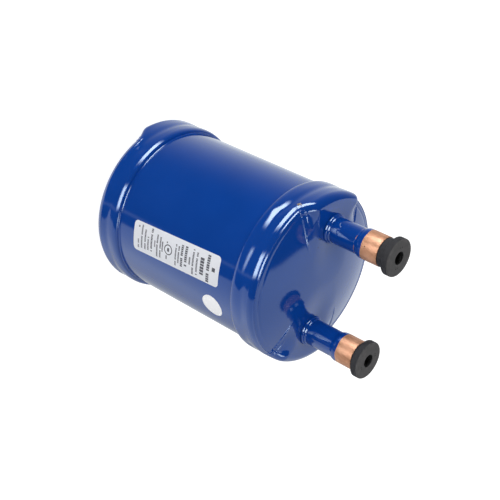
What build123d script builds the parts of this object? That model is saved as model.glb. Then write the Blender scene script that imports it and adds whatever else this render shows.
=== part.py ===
from build123d import *
import os
from math import cos, radians, sin, sqrt, tan

# Refrigerant accumulator for a suction line: a steel tube closed by two pressed caps that slip over it,
# with two swaged copper stubs in the upper cap and a U-tube inside that draws vapour from the top
# and a little oil from the bottom. Millimetres, +Z along the vessel towards the stubs.
# The origin is the centre of the flat that the vessel stands on.

# Shell
shell_od = 101.6
shell_wall = 2.1
shell_exposed = 94.7
shell_lap = 12.0

# Pressed caps, heights counted from the lip towards the crown
cap_wall = 2.5
lap_gap = 0.1
lip_r = 1.8
skirt_valley = 0.3
knuckle_r = 5.0
dome_fall = 10.6
crown_rise = 27.3
land_drop = 3.2
land_half_width = 17.5
land_flank = 36.0
land_edge_r = 4.5
foot_r = 8.0
foot_slope = 14.0
crown_flat_r = 12.0
seam_height = 1.2

# Stubs, heights counted from the land
stub_inset = 21.0
tube_od = 15.88
tube_wall = 1.0
stub_rise = 36.2
stub_inside = 12.0
socket_bore = 15.98
socket_depth = 12.7
swage_length = 4.0
hole_gap = 0.06
seat_r = 11.0
base_braze_width = 1.3
base_braze_height = 3.0

# Rubber plugs
plug_flange_r = 11.4
plug_flange_thickness = 4.5
plug_collar_r = 8.75
plug_stem = 12.0
plug_hole_r = 3.65
plug_hole_depth = 12.0
plug_edge_r = 0.8
plug_fit = 0.05
inlet_plug_proud = 1.8
outlet_plug_proud = 4.8

# U-tube and what hangs on it
bend_r = 22.2
bend_floor_gap = 14.0
mouth_drop = 18.0
joint_lap = 9.0
joint_gap = 0.05
joint_braze = 1.2
vent_hole_r = 1.2
vent_drop = 20.0
clip_thickness = 1.0
clip_height = 9.0
clip_drop = 26.0
weld_r = 1.6
weld_depth = 0.3

# Inlet deflector cup
deflector_wall = 1.2
deflector_drop = 11.0
deflector_lap = 6.0
window_height = 8.0
window_width = 12.0
window_corner = 2.0

# Oil pick-up under the bend
orifice_r = 0.6
bush_spigot_r = 2.6
bush_collar_r = 4.6
bush_collar_height = 1.6
bush_fit = 0.05
cage_r = 3.6
cage_wall = 0.8
cage_height = 5.6
cage_window = 2.6
cage_spigot = 1.0
mesh_thickness = 0.35

# Labels
label_thickness = 0.15
data_label_length = 70.0
data_label_width = 19.0
data_label_corner = 2.5
data_label_height = 48.4
data_label_angle = 92.5
data_label_skew = 2.6
round_label_r = 7.6
round_label_gap = 9.1
round_label_angle = 119.1

# Sizes and places that follow from those above
shell_r = shell_od / 2
skirt_r = shell_r + lap_gap + cap_wall
stub_offset = skirt_r - stub_inset
dome_r = (skirt_r**2 + dome_fall**2) / (2 * dome_fall)
land_rise = crown_rise - land_drop
tube_r = tube_od / 2
socket_r = socket_bore / 2
socket_outer_r = socket_r + tube_wall
crown_flat_depth = dome_r - sqrt(dome_r**2 - crown_flat_r**2)
lower_lip_z = crown_rise - crown_flat_depth
upper_lip_z = lower_lip_z + shell_exposed
land_z = upper_lip_z + land_rise
return_x = stub_offset - 2 * bend_r
bend_z = bend_floor_gap + tube_r + bend_r
stub_bottom_z = land_z - cap_wall - stub_inside
joint_r = tube_r + joint_gap
joint_outer_r = joint_r + tube_wall
mouth_z = land_z - cap_wall - mouth_drop
round_label_height = shell_exposed - round_label_gap - round_label_r

os.makedirs("parts", exist_ok=True)


def knuckle_points(skirt, knuckle, dome, crown):
    """Height where the skirt ends, and the middle and the end of the knuckle arc that meets the dome."""
    centre_x = skirt - knuckle
    dome_centre_z = crown - dome
    centre_z = dome_centre_z + sqrt((dome - knuckle) ** 2 - centre_x**2)
    lean = Vector(centre_x, centre_z - dome_centre_z).normalized()
    middle = (Vector(1, 0) + lean).normalized()
    centre = Vector(centre_x, centre_z)
    return centre_z, centre + middle * knuckle, centre + lean * knuckle


def land_bar(skirt, dome, crown, base, land, half_width, edge, foot):
    """The two lands as one bar across the cap: rounded crests, sloping flanks and hollow feet."""
    rim_z = crown - dome + sqrt(dome**2 - skirt**2)
    flank = radians(land_flank)
    toe = radians(foot_slope)
    crest_run = edge * tan(flank / 2)
    crest = (half_width - crest_run, land)
    flank_top = (half_width + crest_run * cos(flank), land - crest_run * sin(flank))
    hollow_z = rim_z + foot * (cos(toe) - cos(flank))
    flank_end = (half_width + (land - hollow_z) / tan(flank), hollow_z)
    toe_end = (flank_end[0] + foot * (sin(flank) - sin(toe)), rim_z)
    with BuildPart() as bar:
        with BuildSketch(Plane.YZ.offset(-skirt)):
            with BuildLine():
                Line((0, base), (0, land))
                Line((0, land), crest)
                TangentArc(crest, flank_top, tangent=(1, 0))
                Line(flank_top, flank_end)
                TangentArc(flank_end, toe_end, tangent=(cos(flank), -sin(flank)))
                Line(toe_end, (toe_end[0], base))
                Line((toe_end[0], base), (0, base))
            make_face()
            mirror(about=Plane.YZ)
        extrude(amount=2 * skirt)
        with BuildSketch(Plane.XY.offset(base).rotated((0, 0, 90))):
            Circle(skirt)
        extrude(amount=land - base, mode=Mode.INTERSECT)
        rim = bar.faces().filter_by(GeomType.CYLINDER).filter_by(lambda face: face.radius > skirt - edge)
        upper = rim.edges().filter_by(lambda rim_edge: rim_edge.center().Z > (base + rim_z) / 2)
        fillet(upper.filter_by(GeomType.LINE, reverse=True), edge)
    return bar.part


def cap_form(inset, valley, lip):
    """A cap as a filled form with its lip at z = 0, drawn inset from the outer surface by the wall."""
    skirt = skirt_r - inset
    dome = dome_r - inset
    crown = crown_rise - inset
    half_width = land_half_width - inset * tan(radians(land_flank / 2))
    skirt_end, knuckle_middle, knuckle_end = knuckle_points(skirt, knuckle_r - inset, dome, crown)
    half_turn = knuckle_end.X / dome / 2
    dome_middle = (dome * sin(half_turn), crown - dome + dome * cos(half_turn))
    with BuildPart() as form:
        with BuildSketch(Plane.YZ):
            with BuildLine():
                Line((0, 0), (skirt - lip, 0))
                if lip > 0:
                    RadiusArc((skirt - lip, 0), (skirt, lip), -lip)
                if valley > 0:
                    ThreePointArc((skirt, lip), (skirt - valley, (lip + skirt_end) / 2), (skirt, skirt_end))
                else:
                    Line((skirt, lip), (skirt, skirt_end))
                ThreePointArc((skirt, skirt_end), knuckle_middle, knuckle_end)
                ThreePointArc(knuckle_end, dome_middle, (0, crown))
                Line((0, crown), (0, 0))
            make_face()
        revolve(axis=Axis.Z)
        add(land_bar(skirt, dome, crown, skirt_end, land_rise - inset, half_width,
                     land_edge_r - inset, foot_r + inset))
    return form.part


outer_form = cap_form(0, skirt_valley, lip_r)
inner_form = cap_form(cap_wall, 0, 0)


def flattened(form, height):
    """A cap form with its crown pressed flat at a height."""
    with BuildPart() as flat:
        add(form)
        split(bisect_by=Plane.XY.offset(height), keep=Keep.BOTTOM)
    return flat.part


# Upper cap: the dome is pressed flat round each stub, and the stubs pass through plain holes
with BuildPart() as top_cap:
    add(outer_form)
    with Locations((-stub_offset, 0, land_rise), (stub_offset, 0, land_rise)):
        Cone(seat_r, seat_r + land_drop, land_drop, align=(Align.CENTER, Align.CENTER, Align.MIN),
             mode=Mode.SUBTRACT)
    add(inner_form, mode=Mode.SUBTRACT)
    with Locations((-stub_offset, 0, land_rise), (stub_offset, 0, land_rise)):
        Cylinder(tube_r + hole_gap, crown_rise, mode=Mode.SUBTRACT)
top_cap.part = top_cap.part.moved(Location((0, 0, upper_lip_z)))
top_cap.part.label = "top_cap"
export_step(top_cap.part, "parts/top_cap.step")

# Lower cap: the same pressing without holes, its crown pressed flat to stand on
with BuildPart() as bottom_cap:
    add(flattened(outer_form, lower_lip_z))
    add(flattened(inner_form, lower_lip_z - cap_wall), mode=Mode.SUBTRACT)
    mirror(about=Plane.XY, mode=Mode.REPLACE)
bottom_cap.part = bottom_cap.part.moved(Location((0, 0, lower_lip_z)))
bottom_cap.part.label = "bottom_cap"
export_step(bottom_cap.part, "parts/bottom_cap.step")

# Shell: plain tube that ends inside both caps
with BuildPart() as shell:
    with BuildSketch(Plane.XY.offset(lower_lip_z - shell_lap)):
        Circle(shell_r)
        Circle(shell_r - shell_wall, mode=Mode.SUBTRACT)
    extrude(amount=shell_exposed + 2 * shell_lap)
shell.part.label = "shell"
export_step(shell.part, "parts/shell.step")


def seam_ring(height, direction):
    """Braze fillet in the corner of a cap's lip and the shell, running away from the lip."""
    seam_width = skirt_r - lip_r - shell_r
    with BuildPart() as ring:
        with BuildSketch(Plane.XZ):
            with BuildLine():
                lip_point = (shell_r + seam_width, height)
                toe_point = (shell_r, height + direction * seam_height)
                Line((shell_r, height), lip_point)
                Line(lip_point, toe_point)
                Line(toe_point, (shell_r, height))
            make_face()
        revolve(axis=Axis.Z)
    return ring.part


with BuildPart() as top_seam_braze:
    add(seam_ring(upper_lip_z, -1))
top_seam_braze.part.label = "top_seam_braze"
export_step(top_seam_braze.part, "parts/top_seam_braze.step")

with BuildPart() as bottom_seam_braze:
    add(seam_ring(lower_lip_z, 1))
bottom_seam_braze.part.label = "bottom_seam_braze"
export_step(bottom_seam_braze.part, "parts/bottom_seam_braze.step")


def stub(offset):
    """Copper stub swaged to a socket at its upper end, its shoulder stopping the pipe that enters."""
    stub_top_z = land_z + stub_rise
    socket_z = stub_top_z - socket_depth
    swage_z = socket_z - swage_length
    bore_r = tube_r - tube_wall
    with BuildPart() as tube:
        with BuildSketch(Plane.XZ):
            with BuildLine():
                Line((bore_r, stub_bottom_z), (tube_r, stub_bottom_z))
                Line((tube_r, stub_bottom_z), (tube_r, swage_z))
                Spline((tube_r, swage_z), (socket_outer_r, socket_z), tangents=((0, 1), (0, 1)))
                Line((socket_outer_r, socket_z), (socket_outer_r, stub_top_z))
                Line((socket_outer_r, stub_top_z), (socket_r, stub_top_z))
                Line((socket_r, stub_top_z), (socket_r, socket_z))
                Spline((socket_r, socket_z), (bore_r, swage_z), tangents=((0, -1), (0, -1)))
                Line((bore_r, swage_z), (bore_r, stub_bottom_z))
            make_face()
        revolve(axis=Axis.Z)
    return tube.part.moved(Location((offset, 0, 0)))


with BuildPart() as inlet_stub:
    add(stub(-stub_offset))
inlet_stub.part.label = "inlet_stub"
export_step(inlet_stub.part, "parts/inlet_stub.step")

with BuildPart() as outlet_stub:
    add(stub(stub_offset))
outlet_stub.part.label = "outlet_stub"
export_step(outlet_stub.part, "parts/outlet_stub.step")


def base_braze(offset):
    """Braze ring round a stub on its land: a broad bead with a narrower one on it."""
    foot_r = tube_r + base_braze_width
    waist = (tube_r + 0.6 * base_braze_width, land_z + base_braze_height / 2)
    with BuildPart() as bead:
        with BuildSketch(Plane.XZ):
            with BuildLine():
                Line((tube_r, land_z), (foot_r, land_z))
                ThreePointArc((foot_r, land_z), (foot_r - 0.1 * base_braze_width, land_z + 0.3 * base_braze_height),
                              waist)
                ThreePointArc(waist, (waist[0] - 0.1 * base_braze_width, land_z + 0.8 * base_braze_height),
                              (tube_r, land_z + base_braze_height))
                Line((tube_r, land_z + base_braze_height), (tube_r, land_z))
            make_face()
        revolve(axis=Axis.Z)
    return bead.part.moved(Location((offset, 0, 0)))


with BuildPart() as inlet_braze:
    add(base_braze(-stub_offset))
inlet_braze.part.label = "inlet_braze"
export_step(inlet_braze.part, "parts/inlet_braze.step")

with BuildPart() as outlet_braze:
    add(base_braze(stub_offset))
outlet_braze.part.label = "outlet_braze"
export_step(outlet_braze.part, "parts/outlet_braze.step")


def plug(offset, proud):
    """Rubber plug with a stem in the socket, a collar on the stub's end and a flange to pull it by."""
    rim_z = land_z + stub_rise
    flange_z = rim_z + proud
    top_z = flange_z + plug_flange_thickness
    with BuildPart() as body:
        with Locations((0, 0, rim_z)):
            Cylinder(socket_r - plug_fit, plug_stem, align=(Align.CENTER, Align.CENTER, Align.MAX))
            Cylinder(plug_collar_r, proud, align=(Align.CENTER, Align.CENTER, Align.MIN))
        with Locations((0, 0, flange_z)):
            Cylinder(plug_flange_r, plug_flange_thickness, align=(Align.CENTER, Align.CENTER, Align.MIN))
        rims = body.edges().filter_by(GeomType.CIRCLE).sort_by(lambda rim: rim.radius)[-2:]
        fillet(rims, plug_edge_r)
        chamfer(body.edges().group_by(Axis.Z)[0], plug_edge_r)
        with Locations((0, 0, top_z)):
            Cylinder(plug_hole_r, plug_hole_depth, align=(Align.CENTER, Align.CENTER, Align.MAX),
                     mode=Mode.SUBTRACT)
    return body.part.moved(Location((offset, 0, 0)))


with BuildPart() as inlet_plug:
    add(plug(-stub_offset, inlet_plug_proud))
inlet_plug.part.label = "inlet_plug"
export_step(inlet_plug.part, "parts/inlet_plug.step")

with BuildPart() as outlet_plug:
    add(plug(stub_offset, outlet_plug_proud))
outlet_plug.part.label = "outlet_plug"
export_step(outlet_plug.part, "parts/outlet_plug.step")

# U-tube: expanded over the outlet stub, down, round and up again to an open mouth near the top
expanded_z = stub_bottom_z + joint_lap
with BuildPart() as u_tube:
    with BuildLine() as u_path:
        Line((stub_offset, 0, stub_bottom_z - swage_length), (stub_offset, 0, bend_z))
        ThreePointArc((stub_offset, 0, bend_z), (stub_offset - bend_r, 0, bend_z - bend_r), (return_x, 0, bend_z))
        Line((return_x, 0, bend_z), (return_x, 0, mouth_z))
    with BuildSketch(Plane((stub_offset, 0, stub_bottom_z - swage_length))):
        Circle(tube_r)
        Circle(tube_r - tube_wall, mode=Mode.SUBTRACT)
    sweep(path=u_path.line)
    with BuildSketch(Plane.XZ):
        with BuildLine():
            bore_x = stub_offset + tube_r - tube_wall
            wall_x = stub_offset + tube_r
            fit_x = stub_offset + joint_r
            skin_x = stub_offset + joint_outer_r
            neck_z = stub_bottom_z - swage_length
            Line((bore_x, neck_z), (wall_x, neck_z))
            Spline((wall_x, neck_z), (skin_x, stub_bottom_z), tangents=((0, 1), (0, 1)))
            Line((skin_x, stub_bottom_z), (skin_x, expanded_z))
            Line((skin_x, expanded_z), (fit_x, expanded_z))
            Line((fit_x, expanded_z), (fit_x, stub_bottom_z))
            Line((fit_x, stub_bottom_z), (bore_x, stub_bottom_z))
            Line((bore_x, stub_bottom_z), (bore_x, neck_z))
        make_face()
    revolve(axis=Axis((stub_offset, 0, 0), (0, 0, 1)))
    with Locations(Location((stub_offset, tube_r, stub_bottom_z - vent_drop), (90, 0, 0))):
        Cylinder(vent_hole_r, 2 * tube_r, mode=Mode.SUBTRACT)
    with Locations((stub_offset - bend_r, 0, bend_floor_gap)):
        Cylinder(bush_spigot_r + bush_fit, 4 * tube_wall, mode=Mode.SUBTRACT)
u_tube.part.label = "u_tube"
export_step(u_tube.part, "parts/u_tube.step")

with BuildPart() as u_tube_braze:
    with BuildSketch(Plane.XZ):
        with BuildLine():
            root_x = stub_offset + tube_r
            skin_x = stub_offset + joint_outer_r
            Line((root_x, expanded_z), (skin_x, expanded_z))
            ThreePointArc((skin_x, expanded_z), (root_x + 0.4 * (skin_x - root_x), expanded_z + 0.4 * joint_braze),
                          (root_x, expanded_z + joint_braze))
            Line((root_x, expanded_z + joint_braze), (root_x, expanded_z))
        make_face()
    revolve(axis=Axis((stub_offset, 0, 0), (0, 0, 1)))
u_tube_braze.part.label = "u_tube_braze"
export_step(u_tube_braze.part, "parts/u_tube_braze.step")

# Clip: one strip folded round both legs, its two layers spot-welded flat between them
clip_z = stub_bottom_z - clip_drop
legs = [(stub_offset, 0), (return_x, 0)]
with BuildPart() as tube_clip:
    with BuildSketch(Plane.XY.offset(clip_z - clip_height)):
        with Locations(legs):
            Circle(tube_r + clip_thickness)
        with Locations((stub_offset - bend_r, 0)):
            Rectangle(2 * bend_r, 2 * clip_thickness)
        with Locations(legs):
            Circle(tube_r, mode=Mode.SUBTRACT)
    extrude(amount=clip_height)
    weld_x = bend_r / 3
    for side in (-1, 1):
        face = Plane(origin=(stub_offset - bend_r, side * clip_thickness, clip_z - clip_height / 2),
                     x_dir=(1, 0, 0), z_dir=(0, side, 0))
        with BuildSketch(face):
            with Locations((-weld_x, 0), (weld_x, 0)):
                Circle(weld_r)
        extrude(amount=-weld_depth, mode=Mode.SUBTRACT)
tube_clip.part.label = "tube_clip"
export_step(tube_clip.part, "parts/tube_clip.step")

# Inlet deflector: cup drawn in two steps, open to one side only, so that what enters swirls round the wall
cup_r = tube_r + joint_gap + deflector_wall
throat_r = tube_r - tube_wall
cup_bottom_z = stub_bottom_z - deflector_drop
with BuildPart() as inlet_deflector:
    with Locations((-stub_offset, 0, cup_bottom_z)):
        Cylinder(throat_r + deflector_wall, deflector_drop + deflector_lap,
                 align=(Align.CENTER, Align.CENTER, Align.MIN))
    with Locations((-stub_offset, 0, stub_bottom_z - deflector_wall)):
        Cylinder(cup_r, deflector_wall + deflector_lap, align=(Align.CENTER, Align.CENTER, Align.MIN))
    fillet(inlet_deflector.edges().group_by(Axis.Z)[0], 1.5 * deflector_wall)
    with Locations((-stub_offset, 0, cup_bottom_z + deflector_wall)):
        Cylinder(throat_r, deflector_drop + deflector_lap, align=(Align.CENTER, Align.CENTER, Align.MIN),
                 mode=Mode.SUBTRACT)
    with Locations((-stub_offset, 0, stub_bottom_z)):
        Cylinder(tube_r + joint_gap, deflector_lap, align=(Align.CENTER, Align.CENTER, Align.MIN),
                 mode=Mode.SUBTRACT)
    with BuildSketch(Plane((-stub_offset, 0, cup_bottom_z + deflector_wall + window_height / 2),
                           x_dir=(1, 0, 0), z_dir=(0, 1, 0))):
        RectangleRounded(window_width, window_height, window_corner)
    extrude(amount=cup_r, mode=Mode.SUBTRACT)
inlet_deflector.part.label = "inlet_deflector"
export_step(inlet_deflector.part, "parts/inlet_deflector.step")

# Oil orifice: turned bush saddled to the underside of the bend, with a spigot through the wall
bush_x = stub_offset - bend_r
bush_bottom_z = bend_floor_gap - bush_collar_height
with BuildPart() as bend_solid:
    with BuildLine() as bend_path:
        ThreePointArc((stub_offset, 0, bend_z), (bush_x, 0, bend_z - bend_r), (return_x, 0, bend_z))
    with BuildSketch(Plane((stub_offset, 0, bend_z))):
        Circle(tube_r)
    sweep(path=bend_path.line)
with BuildPart() as oil_orifice:
    with Locations((bush_x, 0, bush_bottom_z)):
        Cylinder(bush_collar_r, bush_collar_height + tube_wall, align=(Align.CENTER, Align.CENTER, Align.MIN))
    add(bend_solid.part, mode=Mode.SUBTRACT)
    with Locations((bush_x, 0, bush_bottom_z)):
        Cylinder(bush_spigot_r, bush_collar_height + 1.5 * tube_wall, align=(Align.CENTER, Align.CENTER, Align.MIN))
        Cylinder(orifice_r, bush_collar_height + 2 * tube_wall, align=(Align.CENTER, Align.CENTER, Align.MIN),
                 mode=Mode.SUBTRACT)
        Cylinder(cage_r + bush_fit, cage_spigot, align=(Align.CENTER, Align.CENTER, Align.MIN),
                 mode=Mode.SUBTRACT)
oil_orifice.part.label = "oil_orifice"
export_step(oil_orifice.part, "parts/oil_orifice.step")

# Cage pressed into the bush, and the fine sleeve round its windows
cage_base_z = bush_bottom_z - cage_height
with BuildPart() as screen_cage:
    with Locations((bush_x, 0, cage_base_z)):
        Cylinder(cage_r, cage_height + cage_spigot, align=(Align.CENTER, Align.CENTER, Align.MIN))
        Cylinder(bush_collar_r, cage_wall, align=(Align.CENTER, Align.CENTER, Align.MIN))
    with Locations((bush_x, 0, cage_base_z + cage_wall)):
        Cylinder(cage_r - cage_wall, cage_height + cage_spigot, align=(Align.CENTER, Align.CENTER, Align.MIN),
                 mode=Mode.SUBTRACT)
    with Locations((bush_x, 0, bush_bottom_z - (cage_height - cage_wall) / 2)):
        Box(2 * bush_collar_r, cage_window, cage_height - 3 * cage_wall, mode=Mode.SUBTRACT)
        Box(cage_window, 2 * bush_collar_r, cage_height - 3 * cage_wall, mode=Mode.SUBTRACT)
screen_cage.part.label = "screen_cage"
export_step(screen_cage.part, "parts/screen_cage.step")

with BuildPart() as orifice_screen:
    with BuildSketch(Plane.XY.offset(cage_base_z + cage_wall)):
        with Locations((bush_x, 0)):
            Circle(cage_r + bush_fit + mesh_thickness)
            Circle(cage_r + bush_fit, mode=Mode.SUBTRACT)
    extrude(amount=cage_height - cage_wall)
orifice_screen.part.label = "orifice_screen"
export_step(orifice_screen.part, "parts/orifice_screen.step")


def label_plane(height, angle):
    """Plane square to the shell's radius, its local y up the vessel."""
    outward = (cos(radians(angle)), sin(radians(angle)), 0)
    along = (-sin(radians(angle)), cos(radians(angle)), 0)
    return Plane(origin=(0, 0, lower_lip_z + height), x_dir=along, z_dir=outward)


with BuildPart() as label_skin:
    with BuildSketch():
        Circle(shell_r + label_thickness)
        Circle(shell_r, mode=Mode.SUBTRACT)
    extrude(amount=land_z)

# Paper labels bent round the shell
with BuildPart() as data_label:
    with BuildSketch(label_plane(data_label_height, data_label_angle)):
        RectangleRounded(data_label_width, data_label_length, data_label_corner, rotation=data_label_skew)
    extrude(amount=skirt_r)
    add(label_skin.part, mode=Mode.INTERSECT)
data_label.part.label = "data_label"
export_step(data_label.part, "parts/data_label.step")

with BuildPart() as round_label:
    with BuildSketch(label_plane(round_label_height, round_label_angle)):
        Circle(round_label_r)
    extrude(amount=skirt_r)
    add(label_skin.part, mode=Mode.INTERSECT)
round_label.part.label = "round_label"
export_step(round_label.part, "parts/round_label.step")
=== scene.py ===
# %% [markdown]
# # A suction-line accumulator in Blender
#
# The CAD frame gives the places and main sizes of all the pieces. This lesson lays finer skins over them:
# pressed caps with soft creases, a painted shell, swaged copper, rubber plugs and printed labels. The vessel
# stands upright in the frame, and the camera is rolled so that the picture shows it lying on its side.

# %% Load the frame
import math

import bmesh
import bpy
import numpy as np
from mathutils import Matrix, Vector


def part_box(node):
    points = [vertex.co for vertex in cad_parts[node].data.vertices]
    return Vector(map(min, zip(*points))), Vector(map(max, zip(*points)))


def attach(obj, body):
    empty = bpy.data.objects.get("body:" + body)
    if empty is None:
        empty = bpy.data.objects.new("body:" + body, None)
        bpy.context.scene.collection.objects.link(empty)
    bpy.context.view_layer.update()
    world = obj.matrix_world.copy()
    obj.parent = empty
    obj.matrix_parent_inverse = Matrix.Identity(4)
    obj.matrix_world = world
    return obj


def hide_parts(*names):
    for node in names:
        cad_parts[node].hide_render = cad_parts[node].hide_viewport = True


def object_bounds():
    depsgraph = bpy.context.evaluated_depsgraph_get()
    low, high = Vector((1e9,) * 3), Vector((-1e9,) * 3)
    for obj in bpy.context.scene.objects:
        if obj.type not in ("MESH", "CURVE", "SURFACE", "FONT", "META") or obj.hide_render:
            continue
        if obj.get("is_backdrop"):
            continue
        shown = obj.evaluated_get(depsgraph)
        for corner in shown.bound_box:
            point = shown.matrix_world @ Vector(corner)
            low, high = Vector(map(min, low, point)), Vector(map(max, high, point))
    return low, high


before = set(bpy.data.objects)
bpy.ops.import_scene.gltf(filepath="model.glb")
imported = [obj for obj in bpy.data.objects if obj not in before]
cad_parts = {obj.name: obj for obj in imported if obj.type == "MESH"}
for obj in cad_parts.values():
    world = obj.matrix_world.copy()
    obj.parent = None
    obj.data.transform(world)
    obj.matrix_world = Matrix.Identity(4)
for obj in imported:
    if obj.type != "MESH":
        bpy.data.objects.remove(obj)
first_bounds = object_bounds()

print(len(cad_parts), "CAD nodes")

# %% [markdown]
# Places and main sizes are read from the frame. They could be typed in again, but then the skins would stay
# behind when the CAD model changes. Only what a node's box can't tell is set here, such as a wall or the
# softness of a crease. Lengths are metres, and mm keeps them short.

# %% Sizes read from the frame
mm = 0.001


def span(node_name, axis):
    """Lowest and highest coordinate of a CAD node along an axis."""
    low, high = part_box(node_name)
    return low[axis], high[axis]


shell_r = span("shell", 0)[1]
skirt_r = span("top_cap", 0)[1]
upper_lip, crown = span("top_cap", 2)
lower_lip = span("bottom_cap", 2)[1]
land = span("inlet_braze", 2)[0]
stub_x = sum(span("outlet_stub", 0)) / 2
print("skirt radius", round(skirt_r / mm, 2), "mm")
print("lips at", round(lower_lip / mm, 2), "and", round(upper_lip / mm, 2), "mm")
print("land at", round(land / mm, 2), "mm, stubs at x", round(stub_x / mm, 2), "mm")

# %% [markdown]
# Every skin is a mesh of points and faces, and it is closed, because the real piece has two sides. Modifiers
# could thicken open sheets, but here both sides have to be exact, so both are written out. One helper makes
# a finished piece of the points: it merges poles, turns the faces outwards, shades them smooth up to a sharp
# angle, hangs the piece under the root body and hides the CAD nodes that it stands for.

# %% A helper that finishes a piece
def finished(name, points, faces, nodes, sharp=40):
    """Mesh object with merged poles, outward faces and smooth shading, fixed to the frame."""
    mesh = bpy.data.meshes.new(name)
    mesh.from_pydata(np.asarray(points).tolist(), [], faces)
    work = bmesh.new()
    work.from_mesh(mesh)
    bmesh.ops.remove_doubles(work, verts=work.verts, dist=1e-7)
    bmesh.ops.recalc_face_normals(work, faces=work.faces)
    work.to_mesh(mesh)
    work.free()
    mesh.shade_smooth()
    mesh.set_sharp_from_angle(angle=math.radians(sharp))
    piece = bpy.data.objects.new(name, mesh)
    bpy.context.scene.collection.objects.link(piece)
    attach(piece, "root")
    if nodes:
        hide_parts(*nodes)
    print(name, len(mesh.vertices), "points")
    return piece


# %% [markdown]
# Nearly every piece is turned, spun or pressed round an axis. A screw modifier could turn a section, but its
# rows would all be level. This helper takes rows of points round the axis instead, and a row may rise and
# fall on its way round: a turned piece has level rows, and a pressed cap has rows that climb its lands.

# %% A helper for closed pieces round an axis
def skinned(name, radii, heights, nodes, centre=(0.0, 0.0), count=192, sharp=40, turn=None):
    """Closed skin through rows of points; radii and heights are given per row or per row and step."""
    if turn is None:
        turn = np.linspace(0, 2 * math.pi, count, endpoint=False)
    count = len(turn)
    radii = np.asarray(radii, dtype=float)
    heights = np.asarray(heights, dtype=float)
    rows = len(radii)
    if radii.ndim == 1:
        radii = np.repeat(radii[:, None], count, axis=1)
    if heights.ndim == 1:
        heights = np.repeat(heights[:, None], count, axis=1)
    points = np.stack([centre[0] + radii * np.cos(turn), centre[1] + radii * np.sin(turn), heights], axis=-1)
    starts_and_ends_on_axis = radii[0].max() < 1e-9 and radii[-1].max() < 1e-9
    faces = []
    for row in range(rows - 1 if starts_and_ends_on_axis else rows):
        after = (row + 1) % rows
        for step in range(count):
            side = (step + 1) % count
            faces.append((row * count + step, row * count + side, after * count + side, after * count + step))
    return finished(name, points.reshape(-1, 3), faces, nodes, sharp)


# %% [markdown]
# The cap is pressed from one round blank. It is a shallow dome of large radius with two flat lands, one for
# each stub, and sloping flanks beside them. It could be sculpted, or cut from a ball with booleans, but both
# leave edges that have to be softened by hand. A height formula is chosen instead: the higher of dome and
# land, blended over the width of a crease, is soft by itself. Moved in by the sheet's thickness it gives the
# inner face too, so that the cap has its wall.

# %% Dome, lands and flanks
dome_fall = 10.6 * mm
dome_r = (skirt_r**2 + dome_fall**2) / (2 * dome_fall)
crown_rise = crown - upper_lip
land_rise = land - upper_lip
land_half = 15.0 * mm
lens_middle = 35.0 * mm
lens_bow = 2.2 * mm
lens_reach = 10.0 * mm
flare_start = 41.0 * mm
flare_length = 8.3 * mm
rim_flare = 4.5 * mm
far_flare = 3.5 * mm
foot_start = 20.9 * mm
foot_from = 24.0 * mm
foot_spread = 0.3
far_spread = 0.40
least_flank = 1.0 * mm
slope_limits = (0.02, 1.4)
slope_past_foot = 1.2
crest_crease = 1.8 * mm
foot_crease = 1.0 * mm


def soft_max(first, second, width):
    """The larger of two heights, rounded over a width."""
    near = np.maximum(width - np.abs(first - second), 0) / width
    return np.maximum(first, second) + near * near * width / 4


def soft_min(first, second, width):
    """The smaller of two heights, rounded over a width."""
    return -soft_max(-first, -second, width)


def flank_lines(out, inset, seats):
    """Distances across the cap of a land's edge and of its flank's foot; seats is the cap with stubs."""
    flare = rim_flare if seats else far_flare
    spread = foot_spread if seats else far_spread
    edge = land_half + lens_bow * ((out - lens_middle) / lens_reach) ** 2 - 0.3 * inset
    edge = edge + flare * (np.maximum(out - flare_start, 0) / flare_length) ** 2
    return edge, foot_start + spread * (out - foot_from)


print("dome radius", round(dome_r / mm, 1), "mm")
print("lands", round((crown_rise - land_rise) / mm, 2), "mm under the crown")

# %% [markdown]
# Where a flank meets the dome, the press has spare sheet, which stands up as a narrow fold with a lesser
# wrinkle beside it. A bump texture could draw them, but they catch the light along their whole length, so
# they are built into the height. Round each stub the land slopes up gently from its seat.

# %% Folds, seats and the cap's height
pinch = 0.6 * mm
pinch_aside = -0.2 * mm
pinch_run = (21.0 * mm, 52.0 * mm)
pinch_beat = 2.3 * mm
wrinkle = 0.28 * mm
wrinkle_aside = -3.2 * mm
wrinkle_run = (34.0 * mm, 50.0 * mm)
ridge_width = 0.42 * mm
ridge_rise = 5.0 * mm
ridge_fall = 3.0 * mm
seat_r = 10.0 * mm
seat_lift = 0.02 * mm
seat_slope = 0.17
seat_crease = 1.0 * mm


def ridge(aside, out, run):
    """Height from 0 to 1 of a ridge: aside is the distance from its line, and run is where it lies."""
    start, end = run
    ridge_height = np.exp(-(aside / ridge_width) ** 2)
    return ridge_height * np.clip((out - start) / ridge_rise, 0, 1) * np.clip((end - out) / ridge_fall, 0, 1)


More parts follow.
